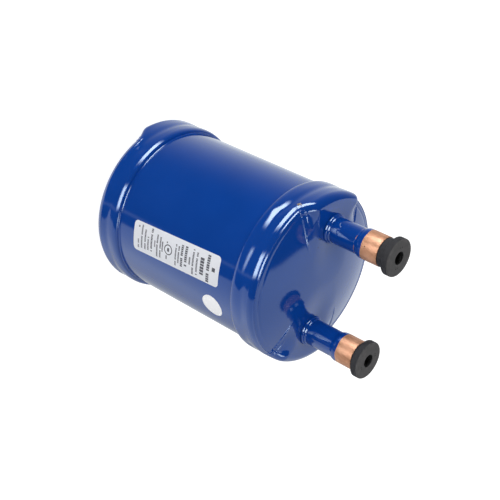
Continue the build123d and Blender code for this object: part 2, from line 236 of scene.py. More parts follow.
def cap_height(radius, turn, inset, seats):
    """Height of a cap over its lip; inset 0 is the outer face and the wall is the inner one."""
    across = radius * np.sin(turn)
    along = radius * np.cos(turn)
    out = np.abs(along)
    aside = np.abs(across)
    edge, foot = flank_lines(out, inset, seats)
    level = land_rise - inset
    dome = crown_rise - dome_r + np.sqrt((dome_r - inset) ** 2 - radius**2)
    foot_dome = crown_rise - dome_r + np.sqrt((dome_r - inset) ** 2 - out**2 - foot**2)
    slope = np.clip((level - foot_dome) / np.maximum(foot - edge, least_flank), *slope_limits)
    flank = soft_min(level, level - slope * (aside - edge), crest_crease)
    flank = flank - slope_past_foot * np.maximum(aside - foot, 0)
    height = soft_max(dome, flank, foot_crease)
    unevenness = 0.85 + 0.15 * np.sin(out / pinch_beat + np.sign(across))
    height = height + pinch * ridge(aside - foot - pinch_aside, out, pinch_run) * unevenness
    height = height + wrinkle * ridge(aside - foot - wrinkle_aside, out, wrinkle_run)
    if seats:
        for side in (-1, 1):
            away = np.hypot(along - side * stub_x, across)
            cone = level + seat_lift + seat_slope * np.maximum(away - seat_r, 0)
            height = soft_min(height, cone, seat_crease)
    return height


middle = float(cap_height(0.0, 0.0, 0.0, True))
print("the cap's middle is", round(middle / mm, 2), "mm over its lip")

# %% [markdown]
# The dome turns down into the skirt over a rolled knuckle, and the die leaves a fine ring round the dome's
# rim. A bevel would round the knuckle alike everywhere, but a ball that rolls under the dome's own height
# follows the lands as well. So each face of the cap gets its rows in two parts: rings over the dome, then
# an arc, with more rows where the ring is.

# %% Rows of a cap's face
knuckle_r = 5.0 * mm
rim_gap = 1e-6
ring_mark = 0.52 * mm
ring_width = 0.27 * mm
ring_at = skirt_r - 1.65 * mm
ring_rows = np.linspace(-0.75, 0.75, 13) * mm


def eased(value, middle, width):
    """0 where a value is small and 1 where it is large, eased round a middle."""
    return 0.5 + 0.5 * np.tanh((value - middle) / width)


def cap_rows(inset, turn, seats, rings, arc_rows):
    """Radii and heights of a cap's face from its middle to the skirt, and where the skirt begins."""
    reach = skirt_r - inset
    ball = knuckle_r - inset
    ball_r = reach - ball
    around = turn[None, :]
    samples = np.linspace(ball_r, reach - rim_gap, 60)[:, None]
    profile = cap_height(samples, around, inset, seats)
    ball_z = (profile - np.sqrt(ball**2 - (samples - ball_r) ** 2)).min(axis=0)
    flat = np.linspace(0, ball_r, rings, endpoint=False)[:, None] + 0 * around
    flat_z = cap_height(flat, around, inset, seats)
    swing = np.linspace(math.pi / 2, 0, arc_rows)
    if inset == 0:
        swing = np.sort(np.concatenate([swing, np.arccos((ring_at - ball_r + ring_rows) / ball)]))[::-1]
    swing = swing[:, None]
    arc = ball_r + ball * np.cos(swing) + 0 * around
    arc_z = cap_height(np.minimum(arc, reach - rim_gap), around, inset, seats)
    arc_z = np.minimum(arc_z, ball_z[None, :] + ball * np.sin(swing))
    if inset == 0:
        off_land = eased(np.abs(np.sin(turn)), 0.5, 0.03)
        arc_z = arc_z + ring_mark * off_land * np.exp(-((arc - ring_at) / ring_width) ** 2)
    return np.vstack([flat, arc]), np.vstack([flat_z, arc_z]), ball_z


print("the ring lies at radius", round(ring_at / mm, 2), "mm")

# %% [markdown]
# The skirt slips over the shell. It isn't quite straight: rolling it onto the shell leaves a faint valley
# between two low crowns, with a shallow dent beside each land, and the lip is rounded. The valley breaks the
# long highlight in the picture. Paint can't do that, so the radius itself varies with height and angle.

# %% Radius of the skirt
lip_r = 1.8 * mm
lip_rise = 3.8 * mm
valley_depth = 0.5 * mm
valley_at = 8.7 * mm
valley_lift = 2.0 * mm
valley_waver = 0.5 * mm
valley_spread = 2.5 * mm
skirt_dent = 0.3 * mm
dent_at = 7.4 * mm
dent_reach = 2.6 * mm
dent_aside = 0.636
dent_width = 0.04
ripple_depth = 0.05 * mm
ripple_length = 2.1 * mm


def skirt_radius(height, turn, phase):
    """Outer radius of the skirt at a height over the lip, which varies a little on the way round."""
    depth = valley_depth * (0.8 + 0.2 * np.sin(2 * turn + phase))
    inside = eased(np.cos(turn) ** 2, 0.65, 0.06)
    at = valley_at + valley_lift * inside + valley_waver * np.sin(7 * turn + phase)
    aside = (np.abs(np.sin(turn)) - dent_aside) / dent_width
    dent = np.exp(-aside ** 2 - ((height - dent_at) / dent_reach) ** 2)
    ripple = 0.5 + 0.5 * np.sin(11 * turn + phase) * np.sin(height / ripple_length + 2 * turn)
    valley = depth * np.exp(-((height - at) / valley_spread) ** 2)
    return skirt_r - valley - ripple_depth * ripple - skirt_dent * dent


print("valley", round(valley_depth / mm, 2), "mm deep,", round(valley_at / mm, 1), "mm over the lip")

# %% [markdown]
# Both caps come from the same pressing. The upper one has seats for the stubs, and the lower one has a small
# flat to stand on. One closed loop of rows makes each: over the outer face, down the skirt, round the lip
# and back along the inner face. The angles round a cap could be even, but the folds need finer steps than
# the rest, so the angles stand closer together there.

# %% Both caps
cap_wall = 2.5 * mm
cap_steps = 500
skirt_top = 12.5 * mm
seam_inner_r = skirt_r - cap_wall
fold_turns = [math.radians(angle) for angle in (32, 148, 212, 328)]
fold_crowding = 3
fold_reach = 0.16


def crowded_turn(steps):
    """Angles round a cap, closer together where the folds run."""
    fine = np.linspace(0, 2 * math.pi, 20001)
    density = 1 + sum(fold_crowding * np.exp(-((fine - at) / fold_reach) ** 2) for at in fold_turns)
    sums = np.concatenate([[0], np.cumsum((density[1:] + density[:-1]) / 2)])
    return np.interp(np.linspace(0, sums[-1], steps, endpoint=False), sums, fine)


def cap_skin(name, cad_name, base, direction, seats, phase, flat_level=None):
    """Closed skin of a cap whose lip is at base and whose crown points up or down."""
    turn = crowded_turn(cap_steps)
    level_row = 0 * turn[None, :]
    outer_r, outer_z, end_z = cap_rows(0.0, turn, seats, 92, 18)
    inner_r, inner_z, inner_end = cap_rows(cap_wall, turn, seats, 22, 6)
    upper = np.linspace(1, 0, 8, endpoint=False)[1:, None]
    high_z = skirt_top + (end_z[None, :] - skirt_top) * upper
    low_z = np.linspace(skirt_top, lip_rise, 15)[:, None] + level_row
    swing = np.linspace(0, math.pi / 2, 10)[1:, None]
    lip_ring_r = skirt_radius(lip_rise, turn, phase) - lip_r + lip_r * np.cos(swing)
    lip_z = lip_rise - lip_rise * np.sin(swing) + level_row
    inside_r = np.array([seam_inner_r, seam_inner_r])[:, None] + level_row
    inside_z = np.vstack([level_row, inner_end[None, :] * 0.5])
    skirt = [skirt_radius(high_z, turn, phase), skirt_radius(low_z, turn, phase)]
    radii = np.vstack([outer_r] + skirt + [lip_ring_r, inside_r, inner_r[::-1]])
    heights = np.vstack([outer_z, high_z, low_z, lip_z, inside_z, inner_z[::-1]])
    if flat_level is not None:
        outside = len(radii) - len(inner_r)
        heights[:outside] = np.minimum(heights[:outside], flat_level)
        heights[outside:] = np.minimum(heights[outside:], flat_level - cap_wall)
    return skinned(name, radii, base + direction * heights, [cad_name], sharp=50, turn=turn)


top_skin = cap_skin("top_cap_skin", "top_cap", upper_lip, 1, True, 0.4)
bottom_skin = cap_skin("bottom_cap_skin", "bottom_cap", lower_lip, -1, False, 2.9, lower_lip)

# %% [markdown]
# The shell is a plain tube with eased ends. A cylinder with a solidify and a bevel modifier would do, but
# the plugs have eased corners of several radii, so one helper eases the corners of any section by arcs.

# %% A helper for eased corners, and the shell
def rounded(corners, steps=6):
    """Rows for a section whose corners (radius, height, rounding) are eased by arcs."""
    out = []
    total = len(corners)
    for index, (r, z, ease) in enumerate(corners):
        here = Vector((r, z))
        if ease <= 0:
            out.append((r, z))
            continue
        before = Vector(corners[index - 1][:2]) - here
        after = Vector(corners[(index + 1) % total][:2]) - here
        half = before.angle(after) / 2
        reach = ease / math.tan(half)
        start = here + before.normalized() * reach
        end = here + after.normalized() * reach
        middle = here + (before.normalized() + after.normalized()).normalized() * (ease / math.sin(half))
        first = start - middle
        last = end - middle
        swing = first.angle_signed(last)
        for step in range(steps + 1):
            turned = first.copy()
            turned.rotate(Matrix.Rotation(-swing * step / steps, 2))
            out.append(tuple(middle + turned))
    return np.array(out)


shell_low, shell_high = span("shell", 2)
shell_wall = 2.1 * mm
shell_ease = 0.2 * mm
shell_bore = shell_r - shell_wall
shell_rows = rounded([(shell_r, shell_low, shell_ease), (shell_r, shell_high, shell_ease),
                      (shell_bore, shell_high, shell_ease), (shell_bore, shell_low, shell_ease)])
shell_skin = skinned("shell_skin", shell_rows[:, 0], shell_rows[:, 1], ["shell"], count=384)

# %% [markdown]
# Where the shell enters a cap, molten braze has run round the lip and left a hollow fillet. A torus cut in
# half would bulge. Here a quarter of a wave, raised to a power, gives a section that thins out towards the
# lip and the shell, as braze does when it wets both.

# %% Seam fillets
seam_height = upper_lip - span("top_seam_braze", 2)[0]
seam_hollow = 1.2
seam_bite = 0.02 * mm


def seam_skin(name, cad_name, lip, direction):
    """Hollow braze fillet between a lip and the shell."""
    width = skirt_r - lip_r - shell_r
    swing = np.linspace(0, math.pi / 2, 7)
    radii = np.append(shell_r + width * (1 - np.sin(swing)) ** seam_hollow, shell_r - seam_bite)
    drop = np.append(seam_height * (1 - np.cos(swing)) ** seam_hollow, 0.0)
    return skinned(name, radii, lip + direction * drop, [cad_name], count=384, sharp=60)


top_seam = seam_skin("top_seam_skin", "top_seam_braze", upper_lip, -1)
bottom_seam = seam_skin("bottom_seam_skin", "bottom_seam_braze", lower_lip, 1)

# %% [markdown]
# A stub is drawn copper tube, swaged wider at its upper end to take a pipe, and deburred. Two cylinders and
# a cone would leave hard steps, so the swage follows half a wave, which eases in and out as the metal does.

# %% Stubs
stub_low, stub_top = span("outlet_stub", 2)
socket_r = span("outlet_stub", 0)[1] - stub_x
tube_r = 7.94 * mm
tube_wall = 1.0 * mm
socket_depth = 12.7 * mm
swage = 4.0 * mm
deburred = [(0.0, 0.3 * mm), (0.1 * mm, 0.08 * mm), (0.3 * mm, 0.0)]
bore_ease = 0.2 * mm


def stub_skin(name, cad_name, centre_x):
    """Swaged copper tube as one closed wall."""
    bore = tube_r - tube_wall
    socket_bore = socket_r - tube_wall
    shoulder = stub_top - socket_depth
    ease = 0.5 - 0.5 * np.cos(np.linspace(0, math.pi, 15))
    flare_z = shoulder - swage + swage * np.linspace(0, 1, 15)
    outer = [(tube_r, stub_low)]
    outer += list(zip(tube_r + (socket_r - tube_r) * ease, flare_z))
    outer += [(socket_r - back, stub_top - down) for back, down in deburred]
    inner = [(socket_bore + bore_ease, stub_top), (socket_bore, stub_top - bore_ease)]
    inner += list(zip(bore + (socket_r - tube_r) * ease[::-1], flare_z[::-1]))
    inner += [(bore, stub_low)]
    section = np.array(outer + inner)
    return skinned(name, section[:, 0], section[:, 1], [cad_name], centre=(centre_x, 0.0))


inlet_stub = stub_skin("inlet_stub_skin", "inlet_stub", -stub_x)
outlet_stub = stub_skin("outlet_stub_skin", "outlet_stub", stub_x)

# %% [markdown]
# The joint of stub and cap is brazed in two passes, which lie on one another as two beads, the upper one
# narrower. Two tori would hide half their faces in one another, so both beads are arcs of one section.

# %% Beads of braze round the stubs
braze_r = span("outlet_braze", 0)[1] - stub_x
braze_top = span("outlet_braze", 2)[1]
bead_bite = 0.05 * mm


def bead_skin(name, cad_name, centre_x):
    """Two braze beads on one another round a stub."""
    width = braze_r - tube_r
    height = braze_top - land
    section = [(tube_r - bead_bite, land)]
    for base_r, reach, start in ((0.55, 0.45, 0.0), (0.05, 0.5, 0.5)):
        for swing in np.linspace(0, math.pi, 13):
            bead_r = tube_r + width * (base_r + reach * math.cos(swing / 2))
            section.append((bead_r, land + height * (start + 0.5 * math.sin(swing / 2))))
    section = np.array(section + [(tube_r - bead_bite, braze_top)])
    return skinned(name, section[:, 0], section[:, 1], [cad_name], (centre_x, 0.0), sharp=50)


inlet_bead = bead_skin("inlet_bead_skin", "inlet_braze", -stub_x)
outlet_bead = bead_skin("outlet_bead_skin", "outlet_braze", stub_x)

# %% [markdown]
# Each plug is moulded rubber: a stem in the socket, a collar and a broad flange with a blind hole to pull it
# by. Bevelled cylinders would do too, but the mould leaves a different radius at each corner, and the helper
# for eased corners takes one radius per corner.

# %% Rubber plugs
flange_r = span("outlet_plug", 0)[1] - stub_x
inlet_plug_top = span("inlet_plug", 2)[1]
outlet_plug_top = span("outlet_plug", 2)[1]
collar_r = 8.75 * mm
flange_depth = 4.5 * mm
stem_r = 7.94 * mm
stem = 12.0 * mm
hole_r = 3.65 * mm
hole_depth = 12.0 * mm
stem_ease = 0.8 * mm
hole_ease = 0.4 * mm


def plug_skin(name, cad_name, centre_x, top):
    """Moulded plug with a blind hole in its flange."""
    stem_low = stub_top - stem
    flange_z = top - flange_depth
    hole_low = top - hole_depth
    section = rounded([
        (0, stem_low, 0), (stem_r, stem_low, stem_ease), (stem_r, stub_top, 0),
        (collar_r, stub_top, 0.25 * mm), (collar_r, flange_z, 0.3 * mm), (flange_r, flange_z, 0.8 * mm),
        (flange_r, top, 0.9 * mm), (hole_r, top, hole_ease), (hole_r, hole_low, hole_ease), (0, hole_low, 0)])
    return skinned(name, section[:, 0], section[:, 1], [cad_name], (centre_x, 0.0), sharp=50)


inlet_plug = plug_skin("inlet_plug_skin", "inlet_plug", -stub_x, inlet_plug_top)
outlet_plug = plug_skin("outlet_plug_skin", "outlet_plug", stub_x, outlet_plug_top)

# %% [markdown]
# Both labels are paper wrapped round the shell. A shrinkwrap modifier could lay a sheet on the tube, but a
# tube needs no search: the sheet's width becomes an angle and its length a height. The helper bends any flat
# outline that way, and gives it a back, a face and an edge.

# %% A helper for sheets wrapped round the shell
def wrapped(name, parts, centre, skew, low_r, high_r, nodes):
    """Sheet pieces bent round the shell; parts are outlines (x round the shell, y along it)."""
    angle, level = centre
    points = []
    faces = []
    lean = math.radians(skew)
    for grid in parts:
        rows, cols = grid.shape[:2]
        start = len(points)
        for radius in (low_r, high_r):
            for x, y in grid.reshape(-1, 2):
                side = x * math.cos(lean) - y * math.sin(lean)
                up = x * math.sin(lean) + y * math.cos(lean)
                turn = angle + side / shell_r
                points.append((radius * math.cos(turn), radius * math.sin(turn), level + up))
        layer = rows * cols
        for row in range(rows - 1):
            for col in range(cols - 1):
                a = start + row * cols + col
                faces.append((a, a + 1, a + cols + 1, a + cols))
                faces.append((a + layer, a + layer + 1, a + layer + cols + 1, a + layer + cols))
        edge = [row * cols for row in range(rows)]
        edge += [(rows - 1) * cols + col for col in range(1, cols)]
        edge += [row * cols + cols - 1 for row in range(rows - 2, -1, -1)]
        edge += [col for col in range(cols - 2, 0, -1)]
        for index, a in enumerate(edge):
            b = edge[(index + 1) % len(edge)]
            faces.append((start + a, start + b, start + layer + b, start + layer + a))
    return finished(name, points, faces, nodes, 30)


# %% [markdown]
# The data label is a long sheet with rounded corners that runs along the vessel, slightly askew, and the
# other label is a plain round seal. Both are the same kind of grid, since a round sheet is a square one
# whose corners are rounded as far as they go.

# %% Labels
label_r = span("data_label", 1)[1]
label_back_r = shell_r + 0.005 * mm
label_width = 19.0 * mm
label_length = 70.0 * mm
label_corner = 2.5 * mm
data_centre = (math.radians(92.5), lower_lip + 48.4 * mm)
data_skew = 2.6
round_r = 7.6 * mm
round_centre = (math.radians(119.1), upper_lip - 9.1 * mm - round_r)


def sheet(width, length, corner, across=40, down=24):
    """Grid over a rectangle with rounded corners."""
    end = corner * (1 - np.cos(np.linspace(0, math.pi / 2, 14)))
    straight = np.linspace(corner, length - corner, down)[1:-1]
    rows = np.concatenate([end, straight, (length - end)[::-1]]) - length / 2
    grid = np.zeros((len(rows), across, 2))
    for index, y in enumerate(rows):
        past = max(abs(y) - (length / 2 - corner), 0)
        half = width / 2 - corner + math.sqrt(max(corner**2 - past**2, 0))
        grid[index, :, 0] = np.linspace(-half, half, across)
        grid[index, :, 1] = y
    return grid


long_sheet = sheet(label_width, label_length, label_corner)
round_sheet = sheet(2 * round_r, 2 * round_r, round_r * 0.999, down=3)
data_label = wrapped("data_label_skin", [long_sheet], data_centre, data_skew, label_back_r, label_r,
                     ["data_label"])
round_label = wrapped("round_label_skin", [round_sheet], round_centre, 0, label_back_r, label_r,
                      ["round_label"])

# %% [markdown]
# The print is raised by a hair's breadth, as plain bars of ink. It could be a texture, but bars of their own
# stay sharp at any distance and bend with the sheet. Rows differ in height and length as on a rating label,
# the first being bold and the last small, and gaps come from a fixed rule, so every run gives the same.

# %% Print on the data label
print_rows = [
    (26.5, 0.4, 16.8, 2.2), (21.8, 0.7, 10.8, 2.9), (17.7, 0.6, 14.0, 1.3), (14.6, 0.5, 15.6, 1.3),
    (12.0, 0.8, 4.7, 1.2), (8.8, -0.8, 12.5, 1.9), (5.5, 0.0, 13.7, 1.7), (2.9, 0.2, 10.6, 1.1),
    (0.6, 1.1, 13.4, 1.1), (-10.5, -0.2, 7.6, 1.0), (-12.3, 0.9, 13.0, 1.2), (-14.9, 0.7, 14.0, 1.2),
    (-16.9, 0.1, 4.1, 1.0), (-19.7, -1.1, 14.6, 1.4), (-22.5, 2.0, 8.7, 1.2), (-25.1, 0.3, 12.8, 1.2),
    (-28.0, -0.7, 14.8, 1.2), (-30.8, -6.4, 1.2, 1.1), (-30.8, 4.4, 5.7, 1.1)]
plain_blocks = [(0.1, -5.6, 2.2, 1.6), (5.2, -6.9, 2.4, 0.9), (-4.2, -6.9, 0.9, 0.9), (-0.3, 30.8, 2.4, 2.4)]
ring_centre = (0.1 * mm, -5.6 * mm)
ring_radii = (3.25 * mm, 2.6 * mm)
ink_pitch = 0.66
ink_low = 0.002 * mm
ink_high = 0.012 * mm
print(len(print_rows), "rows of print and", len(plain_blocks), "plain blocks")


# %% Bars of ink
def bar(x, y, width, height):
    """Grid over a plain bar."""
    grid = np.zeros((2, max(2, int(width / (0.5 * mm)) + 2), 2))
    grid[:, :, 0] = np.linspace(x - width / 2, x + width / 2, grid.shape[1])
    grid[0, :, 1] = y - height / 2
    grid[1, :, 1] = y + height / 2
    return grid


bars = []
for number, (up, side, length, height) in enumerate(print_rows):
    pitch = ink_pitch * height
    marks = max(1, round(length / pitch))
    for mark in range(marks):
        if marks > 6 and (mark * 7 + number * 3) % 11 == 5:
            continue
        x = side - length / 2 + (mark + 0.5) * length / marks
        thin = 0.8 if (mark + number) % 3 else 0.66
        bars.append(bar(x * mm, up * mm, thin * pitch * mm, height * mm))
ring_turn = np.linspace(0, 2 * math.pi, 49)
ring = np.zeros((2, 49, 2))
for row, reach in enumerate(ring_radii):
    ring[row, :, 0] = ring_centre[0] + reach * np.cos(ring_turn)
    ring[row, :, 1] = ring_centre[1] + reach * np.sin(ring_turn)
bars.append(ring[:, :25])
bars.append(ring[:, 24:])
for x, y, width, height in plain_blocks:
    bars.append(bar(x * mm, y * mm, width * mm, height * mm))
data_print = wrapped("data_label_print", bars, data_centre, data_skew, label_r + ink_low, label_r + ink_high,
                     [])
print(len(bars), "ink bars")

# %% [markdown]
# Finishes are built from nodes. Nodes could be placed one by one in the editor, but small helpers keep the
# shader code short enough to read: one makes a node and fills its sockets, the others make noise, masks and
# bumps. A number that is the same all over a surface is written straight into its socket, and only what
# varies over the surface is linked.

# %% Helpers for shader nodes
def node(tree, kind, values=None, **settings):
    """Node with its sockets set to numbers or linked to other nodes' outputs."""
    made = tree.nodes.new(kind)
    for key, value in settings.items():
        setattr(made, key, value)
    for key, value in (values or {}).items():
        if isinstance(value, bpy.types.NodeSocket):
            tree.links.new(value, made.inputs[key])
        else:
            made.inputs[key].default_value = value
    return made


def calc(tree, operation, first, second=0.0, third=0.0):
    """Result of a sum on one, two or three values."""
    return node(tree, "ShaderNodeMath", {0: first, 1: second, 2: third}, operation=operation).outputs[0]


def vector_calc(tree, operation, first, second):
    """Vector that results from two vectors."""
    return node(tree, "ShaderNodeVectorMath", {0: first, 1: second}, operation=operation).outputs[0]


def distance(tree, offset):
    """Length of a vector."""
    return node(tree, "ShaderNodeVectorMath", {0: offset}, operation="LENGTH").outputs["Value"]


def graded(tree, value, low, high, start=0.0, end=1.0):
    """Value that eases from start to end while the input goes from low to high."""
    made = node(tree, "ShaderNodeMapRange", {"Value": value, "From Min": low, "From Max": high,
                                             "To Min": start, "To Max": end})
    made.interpolation_type = "SMOOTHSTEP"
    return made.outputs["Result"]


def noise(tree, place, scale, detail=2.0, roughness=0.5):
    """Noise from 0 to 1 at a place."""
    made = node(tree, "ShaderNodeTexNoise", {"Vector": place, "Scale": scale, "Detail": detail,
                                             "Roughness": roughness})
    return made.outputs["Fac"]


def mixed(tree, factor, first, second):
    """Colour between two others."""
    made = node(tree, "ShaderNodeMix", {0: factor, 6: first, 7: second}, data_type="RGBA")
    return made.outputs[2]


def bump(tree, height, strength, depth):
    """Normal disturbed by a height."""
    made = node(tree, "ShaderNodeBump", {"Height": height, "Strength": strength, "Distance": depth})
    return made.outputs[0]


# %% Helpers for masks and materials
def near_spot(tree, place, spot, size, squeeze=(1.0, 1.0, 1.0)):
    """Mask that is 1 at a spot and eases to 0 at its size."""
    moved = vector_calc(tree, "SUBTRACT", place, spot)
    scaled = vector_calc(tree, "MULTIPLY", moved, squeeze)
    return graded(tree, distance(tree, scaled), 0.5 * size, size, 1.0, 0.0)


def new_material(name):
    """Empty material with its tree, its surface socket and object coordinates."""
    made = bpy.data.materials.new(name)
    made.use_nodes = True
    tree = made.node_tree
    tree.nodes.clear()
    output = tree.nodes.new("ShaderNodeOutputMaterial")
    place = tree.nodes.new("ShaderNodeTexCoord").outputs["Object"]
    return made, tree, output.inputs["Surface"], place


def tell(material):
    """Print how many nodes a material has."""
    print(material.name, "has", len(material.node_tree.nodes), "nodes")


# %% [markdown]
# The blue is a thick gloss enamel. A single colour would look like plastic, so two tones a few per cent
# apart give it depth, a faint orange peel makes reflections waver, and a few dust specks lie in the coat.
# Two scuffs beside the outlet stub show where tools touched the cap, and a small rust spot has come through
# above the fold. They are masks round a place, because one texture for a few spots would be too much.

# %% Blue enamel
enamel_dark = (0.0016, 0.041, 0.250, 1.0)
enamel_light = (0.0030, 0.050, 0.300, 1.0)
dust_blue = (0.09, 0.17, 0.42, 1.0)
rust_brown = (0.24, 0.17, 0.08, 1.0)
scuffed_blue = (0.001, 0.010, 0.060, 1.0)
enamel_tint = (0.82, 0.95, 1.0, 1.0)
rust_spot = (stub_x + 14.8 * mm, 25.4 * mm, land - 9.2 * mm)
near_scuff = (stub_x - 4.8 * mm, 11.6 * mm, land)
far_scuff = (stub_x - 9.6 * mm, 11.8 * mm, land + 0.4 * mm)
peel_depth = 0.02 * mm


def enamel(tree, place):
    """Shader of the blue enamel."""
    cloud = noise(tree, place, 55.0, 3.0)
    base = mixed(tree, cloud, enamel_dark, enamel_light)
    cells = node(tree, "ShaderNodeTexVoronoi", {"Vector": place, "Scale": 170.0})
    chance = node(tree, "ShaderNodeSeparateColor", {"Color": cells.outputs["Color"]}).outputs[0]
    rare = graded(tree, chance, 0.955, 0.965)
    dot = graded(tree, cells.outputs["Distance"], 0.02, 0.05, 1.0, 0.0)
    speck = calc(tree, "MULTIPLY", rare, dot)
    base = mixed(tree, speck, base, dust_blue)
    rust = near_spot(tree, place, rust_spot, 2.0 * mm, (1.6, 1.0, 1.0))
    rust = calc(tree, "MULTIPLY", rust, graded(tree, noise(tree, place, 1400.0, 2.0), 0.36, 0.5))
    base = mixed(tree, rust, base, rust_brown)
    scuff = near_spot(tree, place, near_scuff, 2.2 * mm, (3.5, 1.0, 1.0))
    other = near_spot(tree, place, far_scuff, 1.6 * mm, (4.0, 1.0, 1.0))
    scratchy = graded(tree, noise(tree, place, 900.0, 2.0), 0.4, 0.5)
    scuff = calc(tree, "MULTIPLY", calc(tree, "MAXIMUM", scuff, other), scratchy)
    base = mixed(tree, scuff, base, scuffed_blue)
    peel = noise(tree, place, 420.0, 1.0)
    wave = noise(tree, place, 60.0, 1.0)
    height = calc(tree, "MULTIPLY_ADD", wave, 4.0, peel)
    height = calc(tree, "MULTIPLY_ADD", speck, 3.0, height)
    height = calc(tree, "MULTIPLY_ADD", scuff, -2.0, height)
    gloss = graded(tree, noise(tree, place, 30.0, 4.0), 0.3, 0.7, 0.06, 0.1)
    gloss = calc(tree, "MULTIPLY_ADD", rust, 0.6, gloss)
    shader = node(tree, "ShaderNodeBsdfPrincipled", {
        "Base Color": base, "Roughness": gloss, "IOR": 1.64, "Specular Tint": enamel_tint,
        "Normal": bump(tree, height, 0.25, peel_depth)})
    return shader.outputs[0]


blue, tree, surface, place = new_material("blue_enamel")
tree.links.new(enamel(tree, place), surface)
tell(blue)

# %% [markdown]
# Bare copper shows beyond the paint. It was cleaned with an abrasive pad turned round the tube, so fine
# scratches run round it: noise squeezed along the tube's axis gives them. The stub could be cut in two for
# its two finishes, but the paint ends in a slightly wavy edge, so one material carries both and mixes them
# by height. On the outlet stub a broken ring is scratched through the paint, and its copper has one pit.

# %% Copper with its paint edge
copper_dark = (0.44, 0.21, 0.115, 1.0)
copper_light = (0.57, 0.295, 0.175, 1.0)
pit_brown = (0.10, 0.04, 0.02, 1.0)
copper_pit = (stub_x + 1.4 * mm, 8.9 * mm, land + 27.7 * mm)
round_the_tube = (60.0, 60.0, 2600.0)
paint_end = land + 25.2 * mm
ring_scratch = land + 20.2 * mm


def copper_shader(tree, place):
    """Shader of copper brushed round its axis."""
    brushed = noise(tree, vector_calc(tree, "MULTIPLY", place, round_the_tube), 1.0, 4.0, 0.6)
    stain = noise(tree, place, 160.0, 4.0)
    tone = mixed(tree, graded(tree, stain, 0.35, 0.75), copper_dark, copper_light)
    pit = near_spot(tree, place, copper_pit, 0.6 * mm)
    tone = mixed(tree, pit, tone, pit_brown)
    rough = graded(tree, brushed, 0.2, 0.8, 0.38, 0.5)
    shader = node(tree, "ShaderNodeBsdfPrincipled", {
        "Base Color": tone, "Metallic": 0.3, "Roughness": rough, "Specular IOR Level": 0.3,
        "Normal": bump(tree, brushed, 0.5, 0.02 * mm)})
    return shader.outputs[0]


def bare_mask(tree, place):
    """Mask of the bare copper: the stub's end, and the broken ring on the outlet stub."""
    split = node(tree, "ShaderNodeSeparateXYZ", {"Vector": place})
    level = split.outputs["Z"]
    wander = calc(tree, "MULTIPLY_ADD", noise(tree, place, 130.0, 2.0), 1.2 * mm, level)
    bare = graded(tree, wander, paint_end + 0.55 * mm, paint_end + 0.68 * mm)
    off_ring = calc(tree, "ABSOLUTE", calc(tree, "SUBTRACT", level, ring_scratch))
    scratch = graded(tree, off_ring, 0.1 * mm, 0.28 * mm, 1.0, 0.0)
    scratch = calc(tree, "MULTIPLY", scratch, graded(tree, noise(tree, place, 260.0, 2.0), 0.42, 0.55))
    scratch = calc(tree, "MULTIPLY", scratch, graded(tree, split.outputs["X"], 0.0, stub_x))
    return calc(tree, "MAXIMUM", bare, scratch)


stub_finish, tree, surface, place = new_material("copper_half_painted")
bare = bare_mask(tree, place)
both = node(tree, "ShaderNodeMixShader", {0: bare, 1: enamel(tree, place), 2: copper_shader(tree, place)})
tree.links.new(both.outputs[0], surface)
tell(stub_finish)

# %% [markdown]
# The rubber is dull. Its face is dusty and carries small moulded marks. Its side is darker as painted shade,
# and painted shade makes its hole and the collar's base nearly black. Separate materials for face and side
# would meet in a hard line, so one material changes with height and with the distance from the plug's axis.
# The two plugs are turned differently, so each has its own marks.

# %% Rubber
dusty_face = [(0.062, 0.060, 0.060, 1.0), (0.100, 0.096, 0.097, 1.0)]
side_painted_shade = [(0.018, 0.018, 0.020, 1.0), (0.034, 0.033, 0.036, 1.0)]
hole_painted_shade = (0.004, 0.004, 0.004, 1.0)
collar_painted_shadow = (0.003, 0.003, 0.003, 1.0)
mark_black = (0.006, 0.006, 0.006, 1.0)
mark_size = 0.62 * mm
inlet_marks = [(2.0 * mm, -6.0 * mm), (3.4 * mm, -5.4 * mm), (-2.8 * mm, 5.9 * mm), (-4.2 * mm, 4.9 * mm)]
outlet_marks = [(6.3 * mm, 1.4 * mm), (6.5 * mm, -0.4 * mm), (-6.4 * mm, 0.8 * mm), (-6.2 * mm, -1.2 * mm)]


